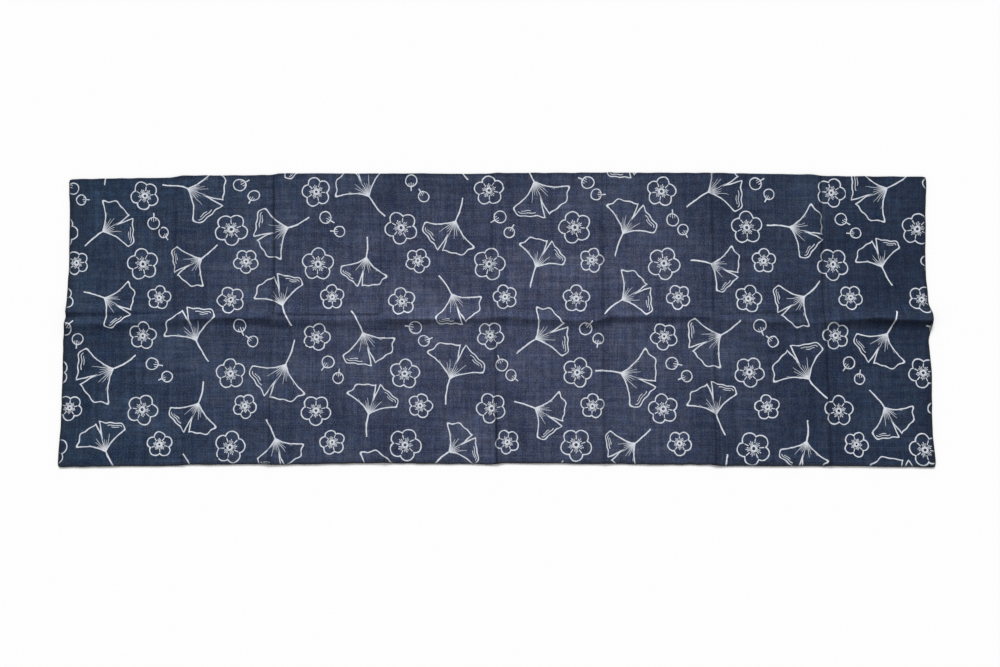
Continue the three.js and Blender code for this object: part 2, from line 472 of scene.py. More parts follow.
# %% Heights, hems and thickness
HEM_STEP = 1.2
SELVEDGE_WIDTH = 2.5
SELVEDGE_SHARE = 0.25
from_edge = np.minimum(from_end, from_side)
lift, painted_crease_shade = fold_lift(x, y)
lift = lift + small_lift(x, y, from_edge)
selvedge = SELVEDGE_SHARE * ease((SELVEDGE_WIDTH - from_side) / HEM_STEP)
hem = ease((HEM_WIDTH - from_end) / HEM_STEP) + selvedge
thickness = CLOTH_THICKNESS + (HEM_THICKNESS - CLOTH_THICKNESS) * np.clip(hem, 0.0, 1.0)
top = np.stack([x, y, lift + thickness], axis=1) * MM
mesh.vertices.foreach_set("co", top.ravel())
mesh.update()
print("highest crease:", lift.max().round(2), "mm over the table")

# %% [markdown]
# ## Masks of painted shade and light
# The masks paint light and shade into the colour: painted shade along each crease, a thin band of
# painted shade along the edges that is weaker on the far edge, which faces the sun, painted shade
# near the short ends, and a painted glare that leaves the middle paler and the ends darker. The
# masks could be painted by hand on the mesh. Here they are attributes worked out from the same
# places as the folds, so they always fit them. The flat place itself is kept as a UV map in metres,
# so the dye and the weave follow the cloth over its creases as they do on a real one.

# %% Flat place and masks
# Where the painted glare is palest, and how far it reaches each way.
GLARE_X, GLARE_Y = 40.0, 30.0
GLARE_REACH_LEFT, GLARE_REACH_RIGHT = 460.0, 285.0
GLARE_REACH_NEAR, GLARE_REACH_FAR = 310.0, 160.0
EDGE_SHADE_REACH = 2.4
FAR_EDGE_SHADE_SHARE = 0.3
LEFT_SHADE, LEFT_SHADE_REACH = 0.25, 22.0
RIGHT_SHADE, RIGHT_SHADE_REACH = 0.1, 60.0
corner_vertex = np.empty(len(mesh.loops), dtype=np.int32)
mesh.loops.foreach_get("vertex_index", corner_vertex)
flat_place = np.stack([flat_x + LENGTH / 2, flat_y + WIDTH / 2], axis=1)
mesh.uv_layers[0].name = "cloth"
mesh.uv_layers["cloth"].data.foreach_set("uv", (flat_place[corner_vertex] * MM).ravel())
on_far_side = (flat_y > 0.0) & (from_side < from_end)
# Painted shade: a thin dark band along the rim, where the edge is in shade, weaker along the far edge,
# which faces the sun.
painted_edge_shade = np.exp(-((from_edge / EDGE_SHADE_REACH) ** 2)) * np.where(on_far_side, FAR_EDGE_SHADE_SHARE, 1.0)
# Painted glare: 0 in the pale middle, where a light above shines back from the cloth, rising towards the
# ends and edges, where the colour is darkened.
along_glare = ((flat_x - GLARE_X) / np.where(flat_x < GLARE_X, GLARE_REACH_LEFT, GLARE_REACH_RIGHT)) ** 2
across_glare = ((flat_y - GLARE_Y) / np.where(flat_y < GLARE_Y, GLARE_REACH_NEAR, GLARE_REACH_FAR)) ** 2
painted_glare_falloff = 1.0 - np.exp(-along_glare - across_glare)
# Painted shade near the short ends, stronger at the left end and wider at the right.
painted_end_shade = LEFT_SHADE * np.exp(-(((flat_x + LENGTH / 2) / LEFT_SHADE_REACH) ** 2))
painted_end_shade += RIGHT_SHADE * np.exp(-(((flat_x - LENGTH / 2) / RIGHT_SHADE_REACH) ** 2))
masks = {"painted_crease_shade": painted_crease_shade, "painted_edge_shade": painted_edge_shade, "painted_glare_falloff": painted_glare_falloff, "painted_end_shade": painted_end_shade}
for name, values in masks.items():
    mesh.attributes.new(name, "FLOAT", "POINT").data.foreach_set("value", values)
    print(name, "from", values.min().round(2), "to", values.max().round(2))

# %% [markdown]
# ## Placing the white motifs
# The design here is a plain traditional one: fan-shaped ginkgo leaves, plum blossoms and round
# buds, in rows that drop by half from column to column. It could be painted on an image, which
# blurs when seen close. Here each face is told which motif it belongs to, and its corners keep their
# place in that motif's own frame as a second UV map. The material then draws each kind of motif
# once, however many there are, with lines that stay sharp.

# %% Layout of the leaves, blossoms and buds
LEAF, BLOSSOM, BUD = 1, 2, 3
MOTIF_COLUMNS = 10
MOTIF_ROWS = 4
ROW_START, HALF_DROP = 0.25, 0.5
MOTIF_SEED, MOTIF_DRIFT = 5, 3.5
LEAF_SIZES = (41.0, 35.0, 38.0, 33.0)
LEAF_TURNS = (24, 205, -58, 118, 160, -20, 250)
LEAF_TURN_STEP, LEAF_SWING = 3, 3
BLOSSOM_SIZES = (18.5, 17.0, 15.5)
BLOSSOM_AT = (0.41, 0.5)
BLOSSOM_TURN_STEP = 17
GAP_AT = (0.59, 0.04)
GAP_BLOSSOM_SIZE, GAP_BLOSSOM_TURN_STEP = 14.0, 31
GAP_BUDS = ((-6, 7, 8.5, 40), (7, -8, 7.5, 250))
BUD_TURN_STEP = 50
PETAL_TURN = 72
MOTIF_MIDDLE = {LEAF: 0.20, BLOSSOM: 0.0, BUD: -0.15}
MOTIF_REACH = {LEAF: 0.88, BLOSSOM: 1.02, BUD: 1.15}


def motif_layout():
    """Rows of (kind, x, y, size, turn) over the flat cloth and a little past its edges."""
    chance = np.random.default_rng(MOTIF_SEED)
    pitch_x, pitch_y = LENGTH / MOTIF_COLUMNS, WIDTH / MOTIF_ROWS
    placed = []
    for place in range(-1, MOTIF_COLUMNS + 1):
        for line in range(-1, MOTIF_ROWS + 1):
            number = (place + 1) * (MOTIF_ROWS + 2) + line + 1
            x = (place + 0.5) * pitch_x
            y = (line + ROW_START + HALF_DROP * (place % 2)) * pitch_y
            shift = chance.uniform(-MOTIF_DRIFT, MOTIF_DRIFT, 5)
            turn = LEAF_TURNS[(number * LEAF_TURN_STEP) % len(LEAF_TURNS)] + LEAF_SWING * shift[2]
            placed.append((LEAF, x + shift[0], y + shift[1], LEAF_SIZES[number % len(LEAF_SIZES)], turn))
            size = BLOSSOM_SIZES[number % len(BLOSSOM_SIZES)]
            hole_x = x + BLOSSOM_AT[0] * pitch_x + shift[3] / 2
            hole_y = y + BLOSSOM_AT[1] * pitch_y + shift[4] / 2
            placed.append((BLOSSOM, hole_x, hole_y, size, BLOSSOM_TURN_STEP * number % PETAL_TURN))
            gap_x, gap_y = x + GAP_AT[0] * pitch_x, y + GAP_AT[1] * pitch_y
            if number % 2:
                turn = GAP_BLOSSOM_TURN_STEP * number % PETAL_TURN
                placed.append((BLOSSOM, gap_x, gap_y, GAP_BLOSSOM_SIZE, turn))
            else:
                for step_x, step_y, size, turn in GAP_BUDS:
                    turn += BUD_TURN_STEP * number
                    placed.append((BUD, gap_x + step_x, gap_y + step_y, size, turn))
    return placed


def in_motif(points, motif):
    """Points of the flat cloth in one motif's own frame, where its size is 1."""
    kind, x, y, size, turn = motif
    cos, sin = math.cos(math.radians(turn)), math.sin(math.radians(turn))
    dx, dy = (points[:, 0] - x) / size, (points[:, 1] - y) / size
    return np.stack([dx * cos + dy * sin, dy * cos - dx * sin + MOTIF_MIDDLE[kind]], axis=1)


layout = motif_layout()
print("motifs laid out:", len(layout))

# %% Give each face its motif
face_count = len(mesh.polygons)
corners = flat_place[corner_vertex].reshape(face_count, 4, 2)
middles = corners.mean(axis=1)
nearest = np.full(face_count, np.inf)
owner = np.zeros(face_count, dtype=int)
for number, motif in enumerate(layout):
    local = in_motif(middles, motif)
    local[:, 1] -= MOTIF_MIDDLE[motif[0]]
    distance = np.hypot(local[:, 0], local[:, 1]) / MOTIF_REACH[motif[0]]
    closer = distance < nearest
    nearest[closer], owner[closer] = distance[closer], number

motif_place = np.empty((face_count, 4, 2))
for number, motif in enumerate(layout):
    mine = owner == number
    motif_place[mine] = in_motif(corners[mine].reshape(-1, 2), motif).reshape(-1, 4, 2)
mesh.uv_layers.new(name="motif").data.foreach_set("uv", motif_place.ravel())
kinds = np.array([motif[0] for motif in layout], dtype=float)
sizes = np.array([motif[3] for motif in layout])
mesh.attributes.new("motif_kind", "FLOAT", "FACE").data.foreach_set("value", kinds[owner])
mesh.attributes.new("motif_size", "FLOAT", "FACE").data.foreach_set("value", sizes[owner])
print("motifs on the cloth:", len(np.unique(owner)))

# %% [markdown]
# ## Thickness
# Cotton of this kind is a little under half a millimetre thick, and here each short end has a narrow
# hem. Extruding the sheet would give it one thickness all over. Solidify turns the single layer into
# a thin closed cloth and keeps its attributes, and a vertex group thins the middle and leaves the
# hems thicker.

# %% Solidify the sheet
group = cloth.vertex_groups.new(name="thickness")
for level in np.unique(thickness.round(3)):
    at_level = np.flatnonzero(thickness.round(3) == level)
    group.add(at_level.tolist(), float(level / HEM_THICKNESS), "REPLACE")
solid = cloth.modifiers.new("thickness", "SOLIDIFY")
solid.thickness = HEM_THICKNESS * MM
solid.offset = -1.0
solid.vertex_group = "thickness"
bpy.context.view_layer.objects.active = cloth
bpy.ops.object.modifier_apply(modifier="thickness")
bpy.ops.object.shade_smooth()
mesh = cloth.data
kept = [attribute.name for attribute in mesh.attributes if not attribute.is_internal]
print("cloth faces:", len(mesh.polygons), "attributes:", kept)

# %% [markdown]
# ## Small helpers for shader nodes
# A material is a tree of nodes, which could be placed by hand. These helpers add one node and give
# each of its sockets either a number or another node's output, so that a formula reads as a few
# short lines.


# %% Node helpers
def feed(tree, socket, value):
    """Links a value that is an output socket, or sets a plain number or colour."""
    if isinstance(value, bpy.types.NodeSocket):
        tree.links.new(value, socket)
    else:
        socket.default_value = value


def add(tree, kind, inputs=(), **settings):
    """A new node with its settings, and its inputs fed by name or number."""
    made = tree.nodes.new("ShaderNode" + kind)
    for name, value in settings.items():
        setattr(made, name, value)
    for name, value in dict(inputs).items():
        feed(tree, made.inputs[name], value)
    return made


def calc(tree, operation, *values):
    """The output of one Math node."""
    return add(tree, "Math", enumerate(values), operation=operation).outputs[0]


def times(tree, first, second):
    """Two values multiplied."""
    return calc(tree, "MULTIPLY", first, second)


def between(tree, value, low, high, at_low, at_high, smooth=False):
    """A value from low to high, carried to the range from at_low to at_high and held at the ends."""
    inputs = {0: value, 1: low, 2: high, 3: at_low, 4: at_high}
    kind = "SMOOTHSTEP" if smooth else "LINEAR"
    return add(tree, "MapRange", inputs, interpolation_type=kind, clamp=True).outputs[0]


def blend(tree, share, first, second, way="MIX"):
    """Two colours mixed by a share."""
    made = add(tree, "Mix", data_type="RGBA", blend_type=way)
    for place, value in ((0, share), (6, first), (7, second)):
        feed(tree, made.inputs[place], value)
    return made.outputs[2]


def new_group(name, inputs, outputs):
    """An empty node group with named sockets, and its two end nodes."""
    tree = bpy.data.node_groups.new(name, "ShaderNodeTree")
    for socket, kind in inputs:
        tree.interface.new_socket(socket, in_out="INPUT", socket_type="NodeSocket" + kind)
    for socket, kind in outputs:
        tree.interface.new_socket(socket, in_out="OUTPUT", socket_type="NodeSocket" + kind)
    return tree, tree.nodes.new("NodeGroupInput").outputs, tree.nodes.new("NodeGroupOutput").inputs


def use_group(tree, group, inputs):
    """A group placed in a tree, with its inputs fed."""
    made = tree.nodes.new("ShaderNodeGroup")
    made.node_tree = group
    for name, value in inputs.items():
        feed(tree, made.inputs[name], value)
    return made.outputs


def colour(red, green, blue):
    """A colour as a screen shows it, 0 to 255, as linear values for a shader, by the sRGB curve."""
    shares = [value / 255 for value in (red, green, blue)]
    linear = [share / 12.92 if share < 0.04045 else ((share + 0.055) / 1.055) ** 2.4 for share in shares]
    return (*linear, 1.0)


print("a mid grey of 128 is", round(colour(128, 128, 128)[0], 3), "in linear light")

# %% [markdown]
# ## One drawn line
# Each motif is a set of lines. The distance from a line, in millimetres, becomes white ink: full
# inside the line's width, none outside, with the slightly soft edge that dye leaves on cotton. A hard
# limit would need fewer nodes, but its edge would look cut out of paper.

# %% The drawn line
DYE_SOFTNESS = 0.32
line_group, given, gives = new_group(
    "drawn line", [("Distance", "Float"), ("Width", "Float")], [("Ink", "Float")]
)
away = calc(line_group, "ABSOLUTE", given["Distance"])
half_width = times(line_group, given["Width"], 0.5)
inner = calc(line_group, "SUBTRACT", half_width, DYE_SOFTNESS)
outer = calc(line_group, "ADD", half_width, DYE_SOFTNESS)
feed(line_group, gives["Ink"], between(line_group, away, inner, outer, 1.0, 0.0, smooth=True))


def drawn(tree, distance, size, line, share=1.0):
    """Ink of a line, from a distance in the motif's own frame and a share of the line's width."""
    in_mm = times(tree, distance, size)
    width = times(tree, line, share)
    return use_group(tree, line_group, {"Distance": in_mm, "Width": width})["Ink"]


def nearest_of(tree, value, step, limit=None):
    """Number of the nearest of evenly spaced lines, and how far from it a value lies."""
    number = calc(tree, "ROUND", calc(tree, "DIVIDE", value, step))
    if limit:
        number = calc(tree, "MINIMUM", calc(tree, "MAXIMUM", number, -limit), limit)
    return number, calc(tree, "MULTIPLY_ADD", number, -step, value)


def within(tree, value, low, high):
    """1 where a value lies between two limits."""
    above = calc(tree, "GREATER_THAN", value, low)
    return times(tree, above, calc(tree, "LESS_THAN", value, high))


def most(tree, inks):
    """The strongest of several inks."""
    result = inks[0]
    for ink in inks[1:]:
        result = calc(tree, "MAXIMUM", result, ink)
    return result


def new_motif(name):
    """A new motif group with the sockets that every motif has, and its place as x and y."""
    sockets = [("Place", "Vector"), ("Size", "Float"), ("Line", "Float")]
    tree, given, gives = new_group(name, sockets, [("Ink", "Float")])
    split = add(tree, "SeparateXYZ", {"Vector": given["Place"]}).outputs
    return tree, given, gives["Ink"], split["X"], split["Y"]


def polar(tree, place, x, y):
    """Distance from the middle of a motif, and the angle from its Y axis."""
    radius = add(tree, "VectorMath", {0: place}, operation="LENGTH").outputs["Value"]
    return radius, calc(tree, "ARCTAN2", x, y)


print("drawn line:", len(line_group.nodes), "nodes")

# %% [markdown]
# ## The ginkgo leaf
# The leaf is a fan about the joint with its stalk. Its outer edge is gently wavy, a notch cuts
# into its middle, fine veins run out from the joint and two short strokes follow the edge. A curve
# object could draw it, but each leaf would then be a piece of its own lying on the cloth. A formula in
# the material stays in the dye. Its lengths are shares of the leaf's size, and its angles radians.

# %% Outline of the ginkgo leaf
RIM_WAVES, RIM_WAVE_START, RIM_WAVE_DEPTH = 9.0, 0.7, 0.035
RIM_RIPPLES, RIM_RIPPLE_DEPTH = 17.0, 0.02
FAN_OPENING, FAN_FLARE, FAN_CORNER = 0.713, 0.367, 0.16
SIDE_TURN_LIMIT = 1.5
NOTCH_X, NOTCH_FOOT = 0.03, 0.55
NOTCH_SINE, NOTCH_COSINE = 0.159, 0.987
leaf_group, given, leaf_ink, px, py = new_motif("ginkgo leaf")
tree, size, line = leaf_group, given["Size"], given["Line"]
radius, turn = polar(tree, given["Place"], px, py)
wave = calc(tree, "SINE", calc(tree, "MULTIPLY_ADD", turn, RIM_WAVES, RIM_WAVE_START))
ripple = calc(tree, "SINE", times(tree, turn, RIM_RIPPLES))
rippled = calc(tree, "MULTIPLY_ADD", ripple, RIM_RIPPLE_DEPTH, 1.0)
rim = calc(tree, "MULTIPLY_ADD", wave, RIM_WAVE_DEPTH, rippled)
from_rim = calc(tree, "SUBTRACT", radius, rim)
half_turn = calc(tree, "MULTIPLY_ADD", calc(tree, "MINIMUM", radius, 1.0), FAN_FLARE, FAN_OPENING)
turned = calc(tree, "ABSOLUTE", turn)
past_turn = calc(tree, "MINIMUM", calc(tree, "SUBTRACT", turned, half_turn), SIDE_TURN_LIMIT)
from_side_line = times(tree, radius, calc(tree, "SINE", past_turn))
fan = calc(tree, "SMOOTH_MAX", from_rim, from_side_line, FAN_CORNER)
notch_x = times(tree, calc(tree, "ABSOLUTE", calc(tree, "SUBTRACT", px, NOTCH_X)), NOTCH_COSINE)
notch_y = times(tree, calc(tree, "SUBTRACT", py, NOTCH_FOOT), NOTCH_SINE)
notch = calc(tree, "SUBTRACT", notch_y, notch_x)
outline = drawn(tree, calc(tree, "MAXIMUM", fan, notch), size, line)
print("outline of the leaf:", len(tree.nodes), "nodes")

# %% Stalk, veins and strokes of the leaf
STALK_BEND, STALK_WIDTH = 0.22, 1.25
STALK_FOOT, STALK_TOP = -0.72, 0.02
VEIN_STEP, VEIN_MARGIN = 0.17, 0.06
VEIN_REACH, VEIN_REACH_SPREAD = 0.46, 0.16
VEIN_MIX, VEIN_MIX_START = 2.4, 1.0
TAPER_START, VEIN_WIDTH, VEIN_TIP_WIDTH = 0.25, 0.62, 0.2
RIM_STROKES = ((0.085, 0.36, 0.88, 0.62), (0.15, 0.52, 0.80, 0.55))
bend = times(tree, times(tree, py, py), STALK_BEND)
on_stalk = within(tree, py, STALK_FOOT, STALK_TOP)
stalk = drawn(tree, calc(tree, "SUBTRACT", px, bend), size, line, STALK_WIDTH)
stalk = times(tree, stalk, on_stalk)

vein_number, off_vein = nearest_of(tree, turn, VEIN_STEP)
from_vein = times(tree, radius, calc(tree, "SINE", off_vein))
uneven = calc(tree, "SINE", calc(tree, "MULTIPLY_ADD", vein_number, VEIN_MIX, VEIN_MIX_START))
vein_reach = calc(tree, "MULTIPLY_ADD", uneven, VEIN_REACH_SPREAD, VEIN_REACH)
along_vein = calc(tree, "DIVIDE", radius, vein_reach)
taper = between(tree, along_vein, TAPER_START, 1.0, VEIN_WIDTH, VEIN_TIP_WIDTH)
vein = drawn(tree, from_vein, size, line, taper)
inside = calc(tree, "LESS_THAN", turned, calc(tree, "SUBTRACT", half_turn, VEIN_MARGIN))
vein_shows = times(tree, inside, calc(tree, "LESS_THAN", radius, vein_reach))
vein = times(tree, vein, vein_shows)

strokes = []
for inset, low, high, width in RIM_STROKES:
    stroke = drawn(tree, calc(tree, "ADD", from_rim, inset), size, line, width)
    strokes.append(times(tree, stroke, within(tree, turn, low, high)))
feed(tree, leaf_ink, most(tree, [outline, stalk, vein] + strokes))
print("whole leaf:", len(tree.nodes), "nodes")

# %% [markdown]
# ## The plum blossom
# A plum blossom has five round petals, and its stamens are short lines with a dot at each tip. The
# petals could be five circles, one after the other. Folding the angle into one fifth of a turn lets
# a single circle draw all five.

# %% The plum blossom
FIFTH = 2 * math.pi / 5
PETAL_PLACE, PETAL_RADIUS = 0.57, 0.43
SEAM_START, SEAM_END, SEAM_WIDTH = 0.34, 0.62, 0.75
RING_RADIUS, RING_WIDTH = 0.13, 0.8
STAMEN_STEP, STAMEN_START = 0.26, 0.18
STAMEN_TIP, STAMEN_TIP_DROP = 0.46, -0.08
STAMEN_WIDTH, STAMEN_DOT = 0.5, 0.9
blossom_group, given, blossom_ink, px, py = new_motif("plum blossom")
tree, size, line = blossom_group, given["Size"], given["Line"]
radius, turn = polar(tree, given["Place"], px, py)
folded = nearest_of(tree, turn, FIFTH)[1]
petal_x = times(tree, radius, calc(tree, "SINE", folded))
petal_y = times(tree, radius, calc(tree, "COSINE", folded))


def from_dot(tree, x, y, centre_y, reach):
    """Distance outside a round dot on the Y axis."""
    rise = calc(tree, "SUBTRACT", y, centre_y)
    square = calc(tree, "MULTIPLY_ADD", x, x, times(tree, rise, rise))
    return calc(tree, "SUBTRACT", calc(tree, "SQRT", square), reach)


outline = drawn(tree, from_dot(tree, petal_x, petal_y, PETAL_PLACE, PETAL_RADIUS), size, line)
to_seam = calc(tree, "SINE", calc(tree, "SUBTRACT", FIFTH / 2, calc(tree, "ABSOLUTE", folded)))
seam = drawn(tree, times(tree, radius, to_seam), size, line, SEAM_WIDTH)
seam = times(tree, seam, within(tree, radius, SEAM_START, SEAM_END))
ring = drawn(tree, calc(tree, "SUBTRACT", radius, RING_RADIUS), size, line, RING_WIDTH)

stamen, off_stamen = nearest_of(tree, folded, STAMEN_STEP, 1.0)
stamen_x = times(tree, radius, calc(tree, "SINE", off_stamen))
stamen_y = times(tree, radius, calc(tree, "COSINE", off_stamen))
tip = calc(tree, "MULTIPLY_ADD", calc(tree, "ABSOLUTE", stamen), STAMEN_TIP_DROP, STAMEN_TIP)
thread = drawn(tree, stamen_x, size, line, STAMEN_WIDTH)
thread = times(tree, thread, within(tree, radius, STAMEN_START, tip))
dot = drawn(tree, from_dot(tree, stamen_x, stamen_y, tip, 0.0), size, line, STAMEN_DOT)
feed(tree, blossom_ink, most(tree, [outline, seam, ring, thread, dot]))
print("plum blossom:", len(tree.nodes), "nodes")

# %% [markdown]
# ## The bud
# A bud is a small round outline on a short stalk, with three strokes of shade at its base. A blossom
# without petals would do, but this needs fewer nodes.

# %% The bud
BUD_PLACE, BUD_RADIUS, BUD_WIDTH = 0.1, 0.8, 0.9
STROKE_STEP, STROKE_WIDTH = 0.3, 0.55
STROKE_FOOT, STROKE_TOP, STROKE_TOP_DROP = -0.62, -0.1, -0.14
BUD_STALK_FOOT, BUD_STALK_TOP = -1.35, -0.7
bud_group, given, bud_ink, px, py = new_motif("round bud")
tree, size, line = bud_group, given["Size"], given["Line"]
outline = drawn(tree, from_dot(tree, px, py, BUD_PLACE, BUD_RADIUS), size, line, BUD_WIDTH)
number, off_stroke = nearest_of(tree, px, STROKE_STEP, 1.0)
stroke = drawn(tree, off_stroke, size, line, STROKE_WIDTH)
stroke_top = calc(tree, "MULTIPLY_ADD", calc(tree, "ABSOLUTE", number), STROKE_TOP_DROP, STROKE_TOP)
stroke = times(tree, stroke, within(tree, py, STROKE_FOOT, stroke_top))
on_stalk = within(tree, py, BUD_STALK_FOOT, BUD_STALK_TOP)
stalk = times(tree, drawn(tree, px, size, line), on_stalk)
feed(tree, bud_ink, most(tree, [outline, stroke, stalk]))
print("round bud:", len(tree.nodes), "nodes")

# %% [markdown]
# ## The plain weave
# Warp and weft pass over and under each other. Each yarn is a rounded bar, and a checkerboard says
# which of the two is on top. Uneven spinning shows as slubs: long faint streaks along both sets of
# yarns. A real towel has thousands of yarns, so modelling each one would be slow. A bump in the
# material is enough from this far, and noise stretched along the yarns gives the slubs and the
# uneven dye. The sizes of the patches are in millimetres along and across.

# %% Weave and slubs
YARN_PITCH = 0.5
SLUB_BUMP = 0.75
WEFT_SLUB, WARP_SLUB = (55, 1.5), (1.7, 46)
HEATHER_PATCH, FIBRE_PATCH, HUE_PATCH = (2.2, 1.6), (1.4, 0.9), (13, 11)
NOISE_ROUGHNESS = 0.55
PLAIN_DETAIL, SOME_DETAIL, FINE_DETAIL = 1.0, 2.0, 3.0
STREAK_TONE, HEATHER_TONE = 0.38, 0.5
TONE_PATCHES = (((140, 6.5), 0.30), ((7.0, 120), 0.34), ((8.0, 7.0), 0.40), ((90, 70), 0.45))
TONE_LOW, TONE_HIGH, TONE_POWER = 1.04, 1.71, 1.8
FLECK_LOW, FLECK_HIGH = 0.58, 0.80
HUE_LOW, HUE_HIGH = 0.3, 0.7
weave_group, given, gives = new_group(
    "plain weave",
    [("Place", "Vector")],
    [("Height", "Float"), ("Tone", "Float"), ("Heather", "Float"), ("Flecks", "Float"), ("Hue", "Float")],
)
tree = weave_group
split = add(tree, "SeparateXYZ", {"Vector": given["Place"]}).outputs
bars, sides = [], []
for axis in ("X", "Y"):
    counted = calc(tree, "DIVIDE", split[axis], YARN_PITCH)
    bars.append(calc(tree, "ABSOLUTE", calc(tree, "SINE", times(tree, counted, math.pi))))
    sides.append(calc(tree, "FLOOR", counted))
odd = calc(tree, "FLOORED_MODULO", calc(tree, "ADD", sides[0], sides[1]), 2.0)
weft_over = times(tree, odd, bars[1])
warp_over = times(tree, calc(tree, "SUBTRACT", 1.0, odd), bars[0])


def patchy(tree, place, patch, detail=SOME_DETAIL):
    """Noise stretched to patches of the given size along and across."""
    scale = (1 / patch[0], 1 / patch[1], 1.0)
    stretched = add(tree, "Mapping", {"Vector": place, "Scale": scale}).outputs[0]
    inputs = {"Vector": stretched, "Scale": 1.0, "Detail": detail, "Roughness": NOISE_ROUGHNESS}
    return add(tree, "TexNoise", inputs, noise_dimensions="2D").outputs[0]


weft_slub = patchy(tree, given["Place"], WEFT_SLUB)
warp_slub = patchy(tree, given["Place"], WARP_SLUB)
streaks = calc(tree, "ADD", weft_slub, warp_slub)
yarns = calc(tree, "ADD", weft_over, warp_over)
feed(tree, gives["Height"], calc(tree, "ADD", yarns, times(tree, streaks, SLUB_BUMP)))
heather = patchy(tree, given["Place"], HEATHER_PATCH, FINE_DETAIL)
feed(tree, gives["Heather"], heather)
tone = calc(tree, "MULTIPLY_ADD", streaks, STREAK_TONE, times(tree, heather, HEATHER_TONE))
for patch, weight in TONE_PATCHES:
    tone = calc(tree, "MULTIPLY_ADD", patchy(tree, given["Place"], patch, FINE_DETAIL), weight, tone)
tone = between(tree, tone, TONE_LOW, TONE_HIGH, 0.0, 1.0)
feed(tree, gives["Tone"], calc(tree, "POWER", tone, TONE_POWER))
fibre = patchy(tree, given["Place"], FIBRE_PATCH, PLAIN_DETAIL)
feed(tree, gives["Flecks"], between(tree, fibre, FLECK_LOW, FLECK_HIGH, 0.0, 1.0))
hue = patchy(tree, given["Place"], HUE_PATCH)
feed(tree, gives["Hue"], between(tree, hue, HUE_LOW, HUE_HIGH, 0.0, 1.0))
print("plain weave:", len(tree.nodes), "nodes")

# %% [markdown]
# ## The dyed cotton
# The ground is indigo, a little darker in some yarns than in others. A painted glare leaves the
# middle paler, and towards the ends the colour is darker and greener. White lines are cotton that
# a paste kept undyed. Painted shade darkens the creases, the short ends and a thin band along the
# edges. One even blue would look like plastic. Mixing the colours by the masks and the weave lets
# every change follow the cloth.

# %% Dyed cotton material
LINE_WIDTH = 1.25
INDIGO_DEEP = colour(32, 39, 61)
INDIGO_LIGHT = colour(83, 88, 109)
FIBRE = colour(110, 115, 136)
UNDYED = colour(203, 205, 209)
UNDYED_DULL = colour(177, 183, 193)
BLUER = (0.93, 1.01, 1.08, 1.0)
REDDER = (1.07, 0.99, 0.93, 1.0)
PLAIN = (1.0, 1.0, 1.0, 1.0)
# Painted glare: how much of each channel is left at the darkened ends, away from the pale middle.
GLARE_FALLOFF_LEFT = (0.23, 0.49, 0.55, 1.0)
GLARE_FALLOFF_RIGHT = (0.26, 0.40, 0.47, 1.0)
LEFT_TINT_REACH = 0.4
# Painted shade: the colour of the crease lines, and of the edges and short ends.
CREASE_SHADE_COLOUR = colour(12, 16, 26)
RIM_SHADE_COLOUR = colour(28, 30, 36)


def mask(tree, name):
    """A value that the mesh keeps as an attribute."""
    return add(tree, "Attribute", attribute_name=name).outputs["Fac"]


cotton = bpy.data.materials.new("indigo_cotton")
cotton.use_nodes = True
tree = cotton.node_tree
tree.nodes.clear()
flat = add(tree, "UVMap", uv_map="cloth").outputs["UV"]
flat_mm = add(tree, "VectorMath", {0: flat, "Scale": 1 / MM}, operation="SCALE").outputs[0]
motif_uv = add(tree, "UVMap", uv_map="motif").outputs["UV"]
kind, size = mask(tree, "motif_kind"), mask(tree, "motif_size")
press, edge = mask(tree, "painted_crease_shade"), mask(tree, "painted_edge_shade")
glare_falloff, end_shade_mask = mask(tree, "painted_glare_falloff"), mask(tree, "painted_end_shade")
along_cloth = add(tree, "SeparateXYZ", {"Vector": flat}).outputs["X"]
print("maps and masks:", len(tree.nodes), "nodes")

# %% Hand-drawn wobble and the motifs
WOBBLE, WOBBLE_SCALE = 1.8, 0.08
BRUSH_SCALE, BRUSH_LOW, BRUSH_HIGH = 0.16, 0.3, 0.7
THIN_LINE, THICK_LINE = LINE_WIDTH * 0.82, LINE_WIDTH * 1.15
NOISE_MIDDLE = (0.5, 0.5, 0.5)
IN_PLANE = (1.0, 1.0, 0.0)


def flat_noise(tree, scale, detail):
    """Noise over the flat cloth, with its scale in patches per millimetre."""
    inputs = {"Vector": flat_mm, "Scale": scale, "Detail": detail}
    return add(tree, "TexNoise", inputs, noise_dimensions="2D").outputs


wobble = flat_noise(tree, WOBBLE_SCALE, SOME_DETAIL)["Color"]
centred = add(tree, "VectorMath", {0: wobble, 1: NOISE_MIDDLE}, operation="SUBTRACT").outputs[0]
amount = calc(tree, "DIVIDE", WOBBLE, size)
shaken = add(tree, "VectorMath", {0: centred, "Scale": amount}, operation="SCALE").outputs[0]
place = add(tree, "VectorMath", {0: motif_uv, 1: shaken}, operation="ADD").outputs[0]
place = add(tree, "VectorMath", {0: place, 1: IN_PLANE}, operation="MULTIPLY").outputs[0]
brush = flat_noise(tree, BRUSH_SCALE, PLAIN_DETAIL)[0]
line = between(tree, brush, BRUSH_LOW, BRUSH_HIGH, THIN_LINE, THICK_LINE)
ink = None
for number, drawing in ((LEAF, leaf_group), (BLOSSOM, blossom_group), (BUD, bud_group)):
    this_kind = calc(tree, "COMPARE", kind, float(number), 0.5)
    one = use_group(tree, drawing, {"Place": place, "Size": size, "Line": line})["Ink"]
    one = times(tree, one, this_kind)
    ink = one if ink is None else calc(tree, "ADD", ink, one)
print("with the motifs:", len(tree.nodes), "nodes")

